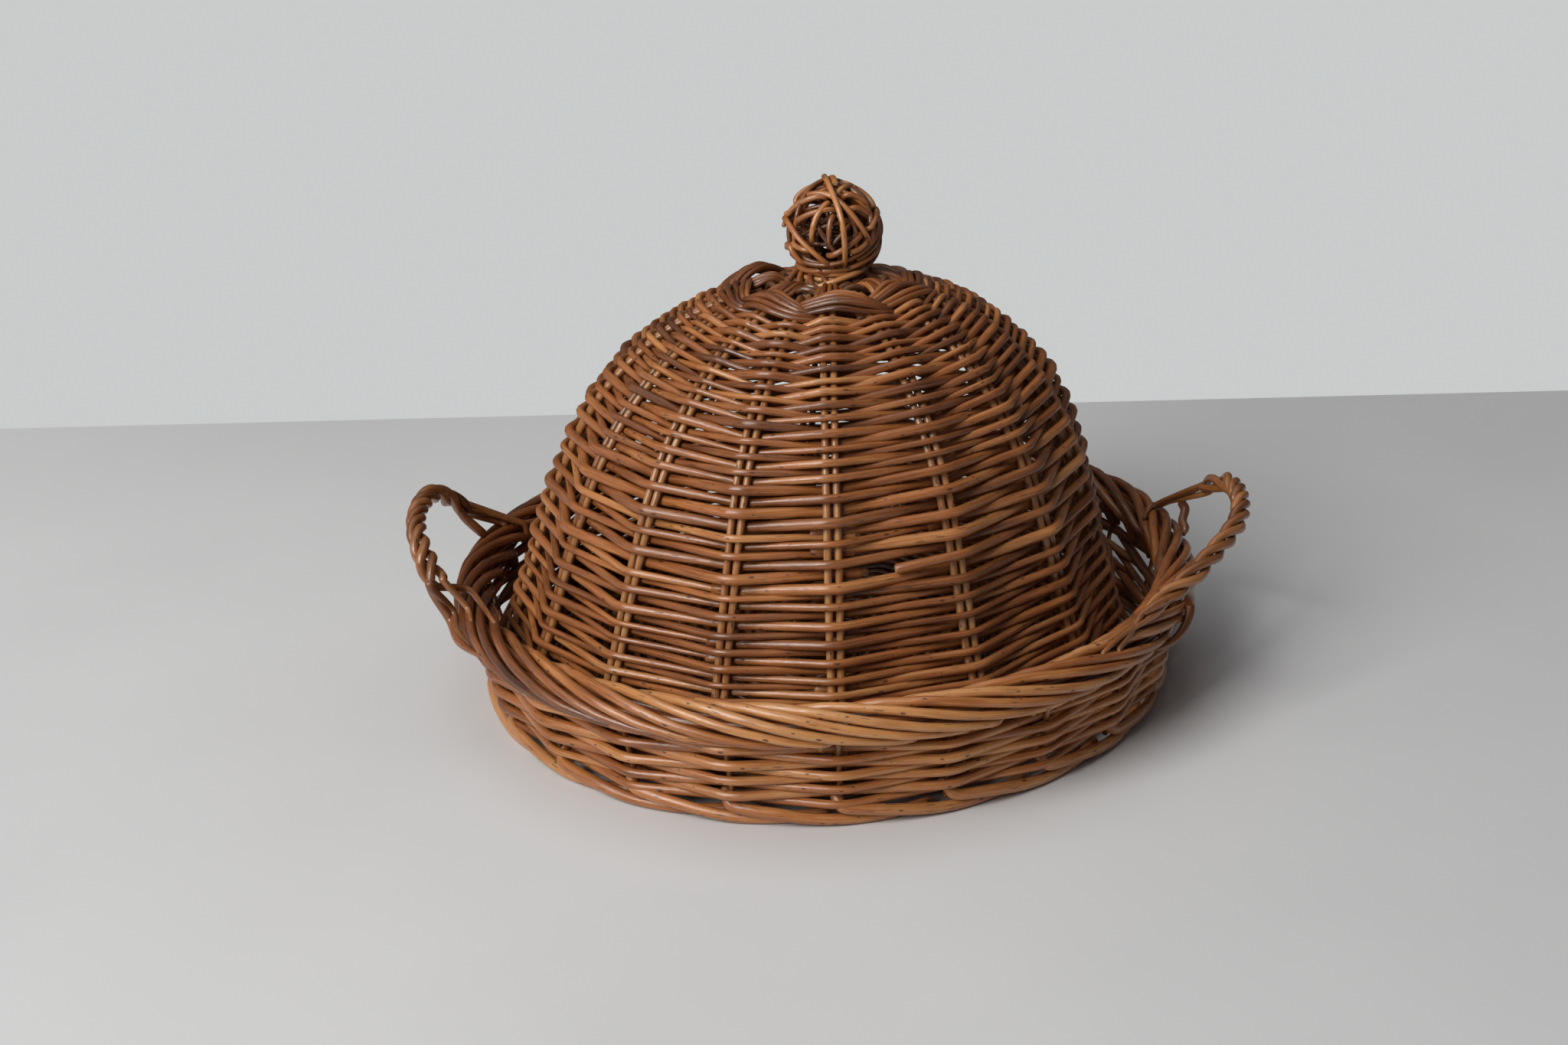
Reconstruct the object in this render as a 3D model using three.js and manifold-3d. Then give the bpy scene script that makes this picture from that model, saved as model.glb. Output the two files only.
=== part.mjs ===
// Wicker cloche basket: a round willow tray with a rolled rim and two handles, and a loose woven
// dome with a ball knob that lifts off it. Millimetres, Z up, the foot stands on Z = 0.
import * as THREE from 'three';
import { mergeVertices } from 'three/addons/utils/BufferGeometryUtils.js';
import Module from 'manifold-3d';

// Room between pieces that touch
const CLEARANCE = 0.3;

// Tray, round the origin
const TRAY_HEIGHT = 67;
const FOOT_RADIUS = 181;
const FOOT_WIDTH = 10;
const FOOT_HEIGHT = 7;
const RIM_RADIUS = 190;
const RIM_DIAMETER = 20;
const STAKE_COUNT = 22;
const STAKE_DIAMETER = 5;
const SIDE_ROD = 4.2;
const SIDE_PITCH = 4.4;
const BASE_STICK_COUNT = 16;
const BASE_STICK_WIDTH = 6;
const BASE_STICK_HEIGHT = 4;
const FLOOR_THICKNESS = 4;

// Handles, out from the rim at both ends of X. The angle of each one's middle, and from there to each of
// its feet, is counted in stake spaces.
const RIGHT_HANDLE_ANGLE = -0.75;
const RIGHT_HANDLE_HALF_ANGLE = 1.4;
const LEFT_HANDLE_ANGLE = STAKE_COUNT / 2;
const LEFT_HANDLE_HALF_ANGLE = 1.1;
const HANDLE_DIAMETER = 9;
const HANDLE_OUTER_RADIUS = 226;
const HANDLE_TOP_HEIGHT = 108;
const HANDLE_RISE = 20;
const HANDLE_SLOPE = Math.PI / 3;
const LASHING_WIDTH = 9;
const LASHING_THICKNESS = 3.6;

// Cloche: its rings lie level, and their middles drift along X on the way up
const CLOCHE_HEIGHT = 203;
const CLOCHE_ROOM = 3.4;
const CLOCHE_CROWN_RADIUS = 32;
const CLOCHE_FOOT_SHIFT = -5;
const CLOCHE_CROWN_SHIFT = 10;
const CLOCHE_BORDER_DIAMETER = 6;
const RIB_COUNT = 16;
const RIB_ROD = 3.9;
const RIB_STEPS = 8;
const WEAVER_ROD = 3.7;
const ROW_PITCH = 4.8;
const WEAVER_LENGTHS = 2;
const CROWN_BAND_COUNT = 2;
const CROWN_BAND_WIDTH = 13;
const CROWN_BAND_THICKNESS = 3;
const HUB_THICKNESS = 7;

// Knob
const KNOB_DIAMETER = 51;
const KNOB_ROD = 3.2;
const KNOB_HOOPS = 6;
const NECK_ROD = 3.6;
const NECK_TURNS = 2;
const NECK_TURN_GAP = 0.7;

const TURN = 2 * Math.PI;
const UP = new THREE.Vector3(0, 0, 1);

// Heights that follow from the sizes above
const sticksBottom = FOOT_HEIGHT + CLEARANCE;
const floorBottom = sticksBottom + BASE_STICK_HEIGHT + CLEARANCE;
const floorTop = floorBottom + FLOOR_THICKNESS;
const rimHeight = TRAY_HEIGHT - RIM_DIAMETER / 2;
const stakeBottom = FOOT_HEIGHT + CLEARANCE;
const stakeTop = rimHeight - RIM_DIAMETER / 2 - CLEARANCE;
const lashingInner = RIM_DIAMETER / 2 + CLEARANCE;
const lashingOuter = lashingInner + LASHING_THICKNESS;
const borderMiddle = floorTop + CLEARANCE + CLOCHE_BORDER_DIAMETER / 2;
const ribFoot = borderMiddle + CLOCHE_BORDER_DIAMETER / 2 + CLEARANCE;
const crownHeight = floorTop + CLOCHE_HEIGHT;

// Radii that follow: the floor lies inside the stakes, and the cloche inside the side weave and lashings
const floorRadius = Math.min(stakeRadius(stakeBottom), stakeRadius(floorTop)) - STAKE_DIAMETER / 2 - CLEARANCE;
const sideWall = STAKE_DIAMETER / 2 + SIDE_ROD + 2 * CLEARANCE;
const sideInner = Math.min(stakeRadius(floorTop), stakeRadius(stakeTop)) - sideWall;
const trayInner = Math.min(sideInner, RIM_RADIUS - lashingOuter);
const clocheWall = RIB_ROD / 2 + WEAVER_ROD + 2 * CLEARANCE;
const clocheFootRadius = trayInner - CLOCHE_ROOM - Math.abs(CLOCHE_FOOT_SHIFT) - clocheWall;

const wasm = await Module();
wasm.setup();

const rodWood = new THREE.MeshStandardMaterial({ color: 0xb28455, roughness: 0.6, metalness: 0 });
const weaverWood = new THREE.MeshStandardMaterial({ color: 0xa2683a, roughness: 0.55, metalness: 0 });

const basket = new THREE.Group();
basket.name = 'wicker_cloche_basket';

function add(name, geometry, material) {
  const mesh = new THREE.Mesh(geometry, material);
  mesh.name = name;
  basket.add(mesh);
}

// Solids from rings of points: each ring is joined to the next, and a closed run comes back to its start

function signedVolume(positions, index) {
  let six = 0;
  const [a, b, c] = [new THREE.Vector3(), new THREE.Vector3(), new THREE.Vector3()];
  for (let i = 0; i < index.length; i += 3) {
    a.fromArray(positions, 3 * index[i]);
    b.fromArray(positions, 3 * index[i + 1]);
    c.fromArray(positions, 3 * index[i + 2]);
    six += a.dot(b.cross(c));
  }
  return six / 6;
}

function skin(rings, closed) {
  const count = rings[0].length;
  const points = rings.flat();
  const index = [];
  const last = closed ? rings.length : rings.length - 1;
  for (let i = 0; i < last; i++) {
    const here = i * count;
    const there = ((i + 1) % rings.length) * count;
    for (let j = 0; j < count; j++) {
      const k = (j + 1) % count;
      index.push(here + j, there + j, there + k, here + j, there + k, here + k);
    }
  }
  if (!closed) {
    for (const [ring, flip] of [[0, false], [rings.length - 1, true]]) {
      const middle = new THREE.Vector3();
      for (const p of rings[ring]) middle.addScaledVector(p, 1 / count);
      points.push(middle);
      for (let j = 0; j < count; j++) {
        const [p, q] = [ring * count + j, ring * count + (j + 1) % count];
        index.push(points.length - 1, flip ? q : p, flip ? p : q);
      }
    }
  }
  const positions = points.flatMap((p) => [p.x, p.y, p.z]);
  if (signedVolume(positions, index) < 0) index.reverse();
  const geometry = new THREE.BufferGeometry();
  geometry.setAttribute('position', new THREE.Float32BufferAttribute(positions, 3));
  geometry.setIndex(index);
  geometry.computeVertexNormals();
  return geometry;
}

function place(middle, across, along, outline) {
  return outline.map(([u, v]) => middle.clone().addScaledVector(across, u).addScaledVector(along, v));
}

function polygon(radius, sides) {
  return Array.from({ length: sides }, (_, i) => {
    const a = (i + 0.5) * TURN / sides;
    return [radius * Math.cos(a), radius * Math.sin(a)];
  });
}

function polar(radius, angle, z) {
  return new THREE.Vector3(radius * Math.cos(angle), radius * Math.sin(angle), z);
}

// A ring round a vertical axis, from a section of [out, up] points round its middle circle
function hoop(middle, radius, outline, steps) {
  const rings = [];
  for (let i = 0; i < steps; i++) {
    const out = polar(1, i * TURN / steps, 0);
    rings.push(place(middle.clone().addScaledVector(out, radius), out, UP, outline));
  }
  return skin(rings, true);
}

function disc(middle, radius, bottom, top, steps) {
  const edge = polygon(radius, steps);
  const level = (z) => edge.map(([x, y]) => new THREE.Vector3(middle.x + x, middle.y + y, z));
  return skin([level(bottom), level(top)], false);
}

// How far a rod's middle stands off the upright that it passes, where it bends there by a slope.
// The upright's outermost points are given as [sideways, outward].
function standOff(corners, halfRod, slope) {
  const lean = Math.hypot(1, slope);
  return Math.max(...corners.map(([side, out]) => out + slope * side + (CLEARANCE + halfRod) * lean));
}

// Slope of a weaver where it passes one of a ring of uprights. Turn is 1 outside an upright wall,
// -1 inside it and 0 on a level one.
function passSlope(reach, radius, count, turn) {
  return Math.max(0, reach / (radius * TURN / count) + turn * Math.tan(Math.PI / count));
}

// Least room between the turns of one wound rod, measured between points at least half a turn apart
function leastSelfGap(points, perTurn, thickness) {
  let least = Infinity;
  for (let i = 0; i < points.length; i++) {
    for (let j = i + Math.ceil(perTurn / 2); j < points.length; j++) {
      least = Math.min(least, points[i].distanceTo(points[j]) - thickness);
    }
  }
  return least;
}

let woundGap = Infinity;

// Tray

function makeFoot() {
  const half = FOOT_WIDTH / 2;
  const outline = [
    [-half, 0], [half, 0], [half, 0.6 * FOOT_HEIGHT],
    [0.5 * half, FOOT_HEIGHT], [-0.5 * half, FOOT_HEIGHT], [-half, 0.6 * FOOT_HEIGHT],
  ];
  add('foot_border', hoop(new THREE.Vector3(), FOOT_RADIUS, outline, 48), weaverWood);
}

function makeBase() {
  const notch = BASE_STICK_WIDTH / 2 / Math.sin(Math.PI / BASE_STICK_COUNT);
  const star = [];
  for (let i = 0; i < BASE_STICK_COUNT; i++) {
    const angle = i * TURN / BASE_STICK_COUNT;
    const halfTip = Math.asin(BASE_STICK_WIDTH / 2 / floorRadius);
    star.push([notch, angle - Math.PI / BASE_STICK_COUNT]);
    star.push([floorRadius, angle - halfTip], [floorRadius, angle + halfTip]);
  }
  const level = (z) => star.map(([r, a]) => polar(r, a, z));
  add('base_sticks', skin([level(sticksBottom), level(sticksBottom + BASE_STICK_HEIGHT)], false), rodWood);
  add('base_weave', disc(new THREE.Vector3(), floorRadius, floorBottom, floorTop, 48), weaverWood);
}

function stakeRadius(z) {
  return FOOT_RADIUS + (RIM_RADIUS - FOOT_RADIUS) * (z - stakeBottom) / (stakeTop - stakeBottom);
}

function stakeAngle(i) {
  return (i + 0.5) * TURN / STAKE_COUNT;
}

function makeStakes() {
  const round = polygon(STAKE_DIAMETER / 2, 6);
  for (let i = 0; i < STAKE_COUNT; i++) {
    const level = (z) => {
      const middle = polar(stakeRadius(z), stakeAngle(i), z);
      return round.map(([x, y]) => new THREE.Vector3(middle.x + x, middle.y + y, z));
    };
    const name = `side_stake_${String(i + 1).padStart(2, '0')}`;
    add(name, skin([level(stakeBottom), level(stakeTop)], false), rodWood);
  }
}

// Two weavers chase each other up the side, each outside every second stake
function makeSideWeave() {
  const half = 0.45 * SIDE_ROD;
  const outline = [[-half, -half], [half, -half], [half, half], [-half, half]];
  const splay = (RIM_RADIUS - FOOT_RADIUS) / (stakeTop - stakeBottom);
  const lowest = floorTop + CLEARANCE + half;
  const highest = rimHeight - lashingOuter - CLEARANCE - half - SIDE_PITCH;
  const turns = Math.max(1, Math.floor((highest - lowest) / (2 * SIDE_PITCH)));
  const reach = STAKE_DIAMETER + SIDE_ROD + 2 * CLEARANCE;
  const corners = [[0, STAKE_DIAMETER / 2 + splay * half]];
  for (const [start, letter] of [[0, 'a'], [1, 'b']]) {
    const rings = [];
    const path = [];
    for (let j = 0; j <= turns * STAKE_COUNT; j++) {
      const angle = stakeAngle(j);
      const z = lowest + SIDE_PITCH * (start + 2 * j / STAKE_COUNT);
      const side = (j + start) % 2 ? -1 : 1;
      const slope = passSlope(reach, stakeRadius(z), STAKE_COUNT, side);
      const middle = polar(stakeRadius(z) + side * standOff(corners, half, slope), angle, z);
      path.push(middle);
      rings.push(place(middle, polar(1, angle, 0), UP, outline));
    }
    woundGap = Math.min(woundGap, leastSelfGap(path, STAKE_COUNT, SIDE_ROD));
    add(`side_weaver_${letter}`, skin(rings, false), weaverWood);
  }
}

function makeRim() {
  const middle = new THREE.Vector3(0, 0, rimHeight);
  add('rim_border', hoop(middle, RIM_RADIUS, polygon(RIM_DIAMETER / 2, 10), 3 * STAKE_COUNT), weaverWood);
}

// Each handle stands on two lashings, which go round the rim between stakes. Both handles reach as far out in X.
function makeHandles() {
  const handles = [
    ['right', RIGHT_HANDLE_ANGLE, RIGHT_HANDLE_HALF_ANGLE],
    ['left', LEFT_HANDLE_ANGLE, LEFT_HANDLE_HALF_ANGLE],
  ];
  const stakeSpace = TURN / STAKE_COUNT;
  const lift = lashingOuter + CLEARANCE;
  for (const [word, middle, spread] of handles) {
    const turn = middle * stakeSpace;
    const feet = [];
    for (const [side, end] of [[-1, 'one'], [1, 'two']]) {
      const angle = turn + side * spread * stakeSpace;
      const rim = polar(RIM_RADIUS, angle, rimHeight);
      const lean = polar(Math.cos(HANDLE_SLOPE), angle, Math.sin(HANDLE_SLOPE));
      feet.push([rim.clone().addScaledVector(lean, lift), rim.clone().addScaledVector(lean, lift + HANDLE_RISE)]);
      add(`${word}_lashing_${end}`, makeLashing(rim, angle), weaverWood);
    }
    const [[a, b], [d, c]] = feet;
    const reach = (HANDLE_OUTER_RADIUS - HANDLE_DIAMETER / 2) / Math.abs(Math.cos(turn));
    const apex = polar(reach, turn, HANDLE_TOP_HEIGHT - HANDLE_DIAMETER / 2);
    const curve = new THREE.CatmullRomCurve3([a, b, apex, c, d]);
    add(`${word}_handle`, makeTube(curve, HANDLE_DIAMETER / 2, 8, 28), rodWood);
  }
}

function makeLashing(rim, angle) {
  const steps = 16;
  const grow = 1 / Math.cos(Math.PI / steps);
  const out = polar(1, angle, 0);
  const along = new THREE.Vector3().crossVectors(UP, out);
  const half = LASHING_WIDTH / 2;
  const outline = [
    [lashingInner * grow, -half], [lashingOuter, -half], [lashingOuter, half], [lashingInner * grow, half],
  ];
  const rings = [];
  for (let i = 0; i < steps; i++) {
    const a = i * TURN / steps;
    const away = out.clone().multiplyScalar(Math.cos(a)).addScaledVector(UP, Math.sin(a));
    rings.push(place(rim, away, along, outline));
  }
  return skin(rings, true);
}

function makeTube(curve, radius, sides, steps) {
  const frames = curve.computeFrenetFrames(steps, false);
  const rings = [];
  for (let i = 0; i <= steps; i++) {
    rings.push(place(curve.getPointAt(i / steps), frames.normals[i], frames.binormals[i], polygon(radius, sides)));
  }
  return skin(rings, false);
}

// Cloche: a rib's middle line in [radius, height], full at the foot and turning in at the shoulder

const ribLine = new THREE.CubicBezierCurve(
  new THREE.Vector2(clocheFootRadius, ribFoot),
  new THREE.Vector2(0.97 * clocheFootRadius, ribFoot + 0.41 * (crownHeight - ribFoot)),
  new THREE.Vector2(0.77 * clocheFootRadius, ribFoot + 0.93 * (crownHeight - ribFoot)),
  new THREE.Vector2(CLOCHE_CROWN_RADIUS, crownHeight),
);
const ribLength = ribLine.getLength();
const ribStations = Array.from({ length: RIB_STEPS + 1 }, (_, k) => ({
  spot: ribLine.getPointAt(k / RIB_STEPS),
  rise: ribLine.getTangentAt(k / RIB_STEPS),
}));

function clocheMiddle(z) {
  const part = (z - ribFoot) / (crownHeight - ribFoot);
  return new THREE.Vector3(CLOCHE_FOOT_SHIFT + (CLOCHE_CROWN_SHIFT - CLOCHE_FOOT_SHIFT) * part, 0, 0);
}

// The wall at a length along a rib: a point off the rib's middle line, with the ways out and up there
function wallAt(angle, length, off) {
  const along = RIB_STEPS * Math.min(1, Math.max(0, length / ribLength));
  const k = Math.min(RIB_STEPS - 1, Math.floor(along));
  const [below, above] = [ribStations[k], ribStations[k + 1]];
  const spot = below.spot.clone().lerp(above.spot, along - k);
  const rise = below.rise.clone().lerp(above.rise, along - k);
  const out = polar(rise.y, angle, -rise.x);
  const up = polar(rise.x, angle, rise.y);
  const point = clocheMiddle(spot.y).add(polar(spot.x, angle, spot.y)).addScaledVector(out, off);
  return { point, out, up, radius: spot.x };
}

function ribAngle(i) {
  return i * TURN / RIB_COUNT;
}

// Two six-sided rods side by side, as [sideways, outward] points
const ribHalf = RIB_ROD / 2;
const ribSide = ribHalf * Math.cos(Math.PI / 6);
const ribOutline = [
  [2 * ribSide, ribHalf / 2], [ribSide, ribHalf], [0, ribHalf / 2], [-ribSide, ribHalf],
  [-2 * ribSide, ribHalf / 2], [-2 * ribSide, -ribHalf / 2], [-ribSide, -ribHalf], [0, -ribHalf / 2],
  [ribSide, -ribHalf], [2 * ribSide, -ribHalf / 2],
];
const ribCorners = [[ribSide, ribHalf], [2 * ribSide, ribHalf / 2]];

function makeRibs() {
  for (let i = 0; i < RIB_COUNT; i++) {
    const angle = ribAngle(i);
    const sideways = polar(1, angle + TURN / 4, 0);
    const rings = [];
    for (let k = 0; k <= RIB_STEPS; k++) {
      const { point, out } = wallAt(angle, ribLength * k / RIB_STEPS, 0);
      rings.push(place(point, sideways, out, ribOutline));
    }
    add(`cloche_rib_${String(i + 1).padStart(2, '0')}`, skin(rings, false), rodWood);
  }
}

function makeClocheBorder() {
  const middle = clocheMiddle(borderMiddle).setZ(borderMiddle);
  const outline = polygon(CLOCHE_BORDER_DIAMETER / 2, 6);
  add('cloche_base_border', hoop(middle, clocheFootRadius, outline, 40), weaverWood);
}

// A point of a woven rod or band at a rib, outside (1) or inside (-1) it
function pass(ribNumber, length, side, halfThickness) {
  const angle = ribAngle(ribNumber);
  const reach = 1.6 * (RIB_ROD + 2 * halfThickness + 2 * CLEARANCE);
  const { radius, up } = wallAt(angle, length, 0);
  const slope = passSlope(reach, radius, RIB_COUNT, side * up.z);
  return wallAt(angle, length, side * standOff(ribCorners, halfThickness, slope));
}

const crownBandStep = CROWN_BAND_WIDTH + 4 * CLEARANCE;
const topRow = ribLength - CROWN_BAND_COUNT * crownBandStep - ROW_PITCH;

// Two weavers chase each other up the dome, each outside every second rib and worked in several lengths
function makeClocheWeave() {
  const half = 0.45 * WEAVER_ROD;
  const outline = [[-half, -half], [half, -half], [half, half], [-half, half]];
  const turns = Math.floor((topRow - 2 * ROW_PITCH) / (2 * ROW_PITCH));
  for (const [start, letter] of [[0, 'a'], [1, 'b']]) {
    for (let part = 0; part < WEAVER_LENGTHS; part++) {
      const first = Math.round(turns * part / WEAVER_LENGTHS) * RIB_COUNT + start;
      const end = Math.round(turns * (part + 1) / WEAVER_LENGTHS) * RIB_COUNT + start;
      const rings = [];
      const path = [];
      for (let j = first; j < end; j++) {
        const length = ROW_PITCH * (1 + start + 2 * (j - start) / RIB_COUNT);
        const { point, out, up } = pass(j, length, (j + start) % 2 ? -1 : 1, half);
        path.push(point);
        rings.push(place(point, out, up, outline));
      }
      woundGap = Math.min(woundGap, leastSelfGap(path, RIB_COUNT, WEAVER_ROD));
      add(`cloche_weaver_${letter}${part + 1}`, skin(rings, false), weaverWood);
    }
  }
}

function makeCrownBands() {
  const half = CROWN_BAND_THICKNESS / 2;
  for (let band = 0; band < CROWN_BAND_COUNT; band++) {
    const length = ribLength - (CROWN_BAND_COUNT - band - 0.5) * crownBandStep;
    const rings = [];
    for (let j = 0; j < RIB_COUNT; j++) {
      const side = (j + band) % 2 ? -1 : 1;
      const spots = [-0.5, 0, 0.5].map((part) => pass(j, length + part * CROWN_BAND_WIDTH, side, half));
      const face = (off) => spots.map(({ point, out }) => point.clone().addScaledVector(out, off));
      rings.push([...face(half), ...face(-half).reverse()]);
    }
    add(`crown_band_${band + 1}`, skin(rings, true), weaverWood);
  }
}

// The hub fills the middle of the crown, where the rib ends meet it
const hubTop = crownHeight + HUB_THICKNESS / 2;

function makeHub() {
  const rise = ribLine.getTangentAt(1);
  const radius = CLOCHE_CROWN_RADIUS - ribHalf * Math.abs(rise.y) - CLEARANCE;
  const middle = clocheMiddle(crownHeight);
  add('crown_hub', disc(middle, radius, hubTop - HUB_THICKNESS, hubTop, 32), rodWood);
}

// Knob: an openwork ball of thin hoops, sitting in the cup of the wound neck

const neckStart = NECK_ROD + CLEARANCE;
const knobMiddle = clocheMiddle(crownHeight).setZ(hubTop + neckStart + KNOB_DIAMETER / 2 - NECK_ROD);

function makeNeck() {
  const cup = KNOB_DIAMETER / 2 + CLEARANCE + NECK_ROD / 2;
  const low = hubTop + CLEARANCE + NECK_ROD / 2 - knobMiddle.z;
  const from = Math.acos(Math.min(1, -low / cup));
  const perTurn = (NECK_ROD + NECK_TURN_GAP) / cup;
  const steps = 24 * NECK_TURNS;
  const path = [];
  for (let i = 0; i <= steps; i++) {
    const down = from + perTurn * i / 24;
    const spot = polar(cup * Math.sin(down), i * TURN / 24, -cup * Math.cos(down));
    path.push(spot.add(knobMiddle));
  }
  woundGap = Math.min(woundGap, leastSelfGap(path, 24, NECK_ROD));
  const rings = path.map((point, i) => {
    const away = point.clone().sub(knobMiddle).normalize();
    const forward = path[Math.min(i + 1, steps)].clone().sub(path[Math.max(i - 1, 0)]).normalize();
    const across = new THREE.Vector3().crossVectors(forward, away).normalize();
    return place(point, away, across, polygon(NECK_ROD / 2, 6));
  });
  add('neck_wrap', skin(rings, false), weaverWood);
}

function toManifold(geometry) {
  const plain = geometry.clone();
  plain.deleteAttribute('normal');
  const merged = mergeVertices(plain);
  return new wasm.Manifold(new wasm.Mesh({
    numProp: 3,
    vertProperties: new Float32Array(merged.attributes.position.array),
    triVerts: new Uint32Array(merged.index.array),
  }));
}

function fromManifold(solid) {
  const mesh = solid.getMesh();
  const geometry = new THREE.BufferGeometry();
  geometry.setAttribute('position', new THREE.Float32BufferAttribute(mesh.vertProperties, 3));
  geometry.setIndex(Array.from(mesh.triVerts));
  geometry.computeVertexNormals();
  return geometry;
}

function makeKnob() {
  const golden = Math.PI * (3 - Math.sqrt(5));
  const radius = (KNOB_DIAMETER - KNOB_ROD) / 2;
  let ball = null;
  for (let i = 0; i < KNOB_HOOPS; i++) {
    const axis = new THREE.Vector3(0, 0, 1 - (i + 0.5) / KNOB_HOOPS);
    const side = Math.sqrt(1 - axis.z * axis.z);
    axis.set(side * Math.cos(golden * i), side * Math.sin(golden * i), axis.z);
    const ring = hoop(new THREE.Vector3(), radius, polygon(KNOB_ROD / 2, 4), 16);
    ring.applyQuaternion(new THREE.Quaternion().setFromUnitVectors(UP, axis));
    ring.translate(knobMiddle.x, knobMiddle.y, knobMiddle.z);
    ball = ball ? ball.add(toManifold(ring)) : toManifold(ring);
  }
  add('knob_ball', fromManifold(ball), weaverWood);
}

makeFoot();
makeBase();
makeStakes();
makeSideWeave();
makeRim();
makeHandles();
makeClocheBorder();
makeRibs();
makeClocheWeave();
makeCrownBands();
makeHub();
makeNeck();
makeKnob();

console.log(`least gap of a wound rod to itself: ${woundGap.toFixed(2)} mm`);

export default basket;
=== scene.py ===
"""Looks of the wicker cloche basket: every CAD solid is replaced by the willow rods it stands for."""
import math

import bpy
import numpy as np
from mathutils import Matrix


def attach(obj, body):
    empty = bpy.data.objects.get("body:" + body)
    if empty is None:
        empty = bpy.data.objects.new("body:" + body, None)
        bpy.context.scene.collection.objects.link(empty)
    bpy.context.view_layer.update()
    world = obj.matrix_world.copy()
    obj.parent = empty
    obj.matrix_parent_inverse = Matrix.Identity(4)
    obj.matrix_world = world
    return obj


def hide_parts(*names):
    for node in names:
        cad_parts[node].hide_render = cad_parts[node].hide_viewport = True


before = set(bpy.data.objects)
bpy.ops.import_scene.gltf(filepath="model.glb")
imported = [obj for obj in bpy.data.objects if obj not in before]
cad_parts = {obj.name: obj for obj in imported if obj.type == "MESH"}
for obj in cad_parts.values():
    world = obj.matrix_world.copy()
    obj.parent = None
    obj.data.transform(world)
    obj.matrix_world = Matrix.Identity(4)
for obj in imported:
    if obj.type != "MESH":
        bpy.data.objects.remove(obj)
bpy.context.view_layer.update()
chance = np.random.default_rng(11)

# Sizes in millimetres, as in the CAD model. Angles are in degrees from the front, counted to the right.
STAKE_COUNT = 22
STAKE_SPACE = 360 / STAKE_COUNT
STAKE_RADIUS = 1.4
STAKE_BOTTOM = 7.3
STAKE_TOP = 46.7
FOOT_RADIUS = 181
FOOT_ROD = 3.0
SIDE_ROD = 2.3
SIDE_BOTTOM = 10.4
SIDE_TOP = 49
RIM_RADIUS = 190
RIM_HEIGHT = 57
RIM_HALF = 11.2
RIM_RODS = 2 * STAKE_COUNT
RIM_ROD = 2.95
FLOOR_RADIUS = 178
FLOOR_HEIGHT = 11.4
FLOOR_PITCH = 4.1
FLOOR_START = 32
FLOOR_SWAY = 3.2
FLOOR_SPAN = 24
BASE_STICK_COUNT = 16
BASE_STICK_SPACE = 360 / BASE_STICK_COUNT
BASE_STICK_APART = 4.6
BASE_STICK_LIFT = 1.6
RIB_COUNT = 16
RIB_SPACE = 360 / RIB_COUNT
RIB_ROD = 2.0
RIB_PAIR = 2.5
RIB_FOOT = 22.2
CROWN_HEIGHT = 218.6
DOME_RADIUS = 160
CROWN_RADIUS = 32
BORDER_HEIGHT = 18.9
KNOB_MIDDLE = np.array([12.0, 0.0, 244.1])
KNOB_RADIUS = 27.8

# The dome leans: how far its middle is to the right, by height
LEAN_AT = (22, 60, 110, 160, 218)
LEAN = (-6.5, -4.8, -0.9, 2.9, 8.7)

# The two points that draw a rib's curve, in parts of the dome's radius and of the rib's rise
RIB_LOW = (0.97, 0.41)
RIB_HIGH = (0.77, 0.93)

# The ribs swell above their foot and are drawn in over that: by how much, at what height and how widely
SWELL = (5, 40, 18)
WAIST = (-1.8, 105, 35)

# The crown has sunk at its back: how far for each millimetre behind a line, and over which heights
SUNK = 0.08
SUNK_BEHIND = -30
SUNK_HEIGHTS = (150, 212)

# A rod of a weave is thick at its cut end and thin at its tip, in parts of its radius. Round an upright it
# lies a little closer than its radius, and bulges
THICK_END = 1.22
THIN_END = 0.78
BEND_REST = 0.96
BEND_BULGE = 0.4

# Each end of a rod is rounded off: how far it reaches on and how thick it is, in parts of the radius
ROUNDED_LENGTH = 0.3
ROUNDED_GIRTH = 0.75

# Camera of the photograph, in millimetres and degrees
CAMERA_PLACE = (-20.2, -1082.4, 521.7)
CAMERA_DOWN = 22.05
CAMERA_ROLL = -2.9
CAMERA_LENS = 49.34


# Points and lines

def spot(radius, degrees, z):
    a = math.radians(degrees)
    return np.array([radius * math.sin(a), -radius * math.cos(a), z])


def rounded(points, rounds=2):
    """Cuts the corners of a line of points, and keeps its ends."""
    line = np.asarray(points, float)
    for _ in range(rounds):
        near = 0.75 * line[:-1] + 0.25 * line[1:]
        far = 0.25 * line[:-1] + 0.75 * line[1:]
        inner = np.stack([near, far], 1).reshape(-1, 3)
        line = np.vstack([line[:1], inner[1:-1], line[-1:]])
    return line


def curve_through(points, steps):
    """A smooth line through the points."""
    p = np.asarray(points, float)
    p = np.vstack([2 * p[0] - p[1], p, 2 * p[-1] - p[-2]])
    t = np.linspace(0, 1, steps, endpoint=False)[:, None]
    line = []
    for a, b, c, d in zip(p[:-3], p[1:-2], p[2:-1], p[3:]):
        square = 2 * a - 5 * b + 4 * c - d
        cube = 3 * b - a - 3 * c + d
        line.append(0.5 * (2 * b + (c - a) * t + square * t ** 2 + cube * t ** 3))
    return np.vstack(line + [p[-2:-1]])


def directions(line):
    """Ways ahead, across and outward along a line, turning as little as possible."""
    ahead = np.gradient(line, axis=0)
    ahead /= np.linalg.norm(ahead, axis=1)[:, None]
    across = np.zeros_like(line)
    last = np.cross(ahead[0], (0.31, 0.17, 0.93))
    for i, way in enumerate(ahead):
        last = last - way * (last @ way)
        last = last / np.linalg.norm(last)
        across[i] = last
    return ahead, across, np.cross(ahead, across)


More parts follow.
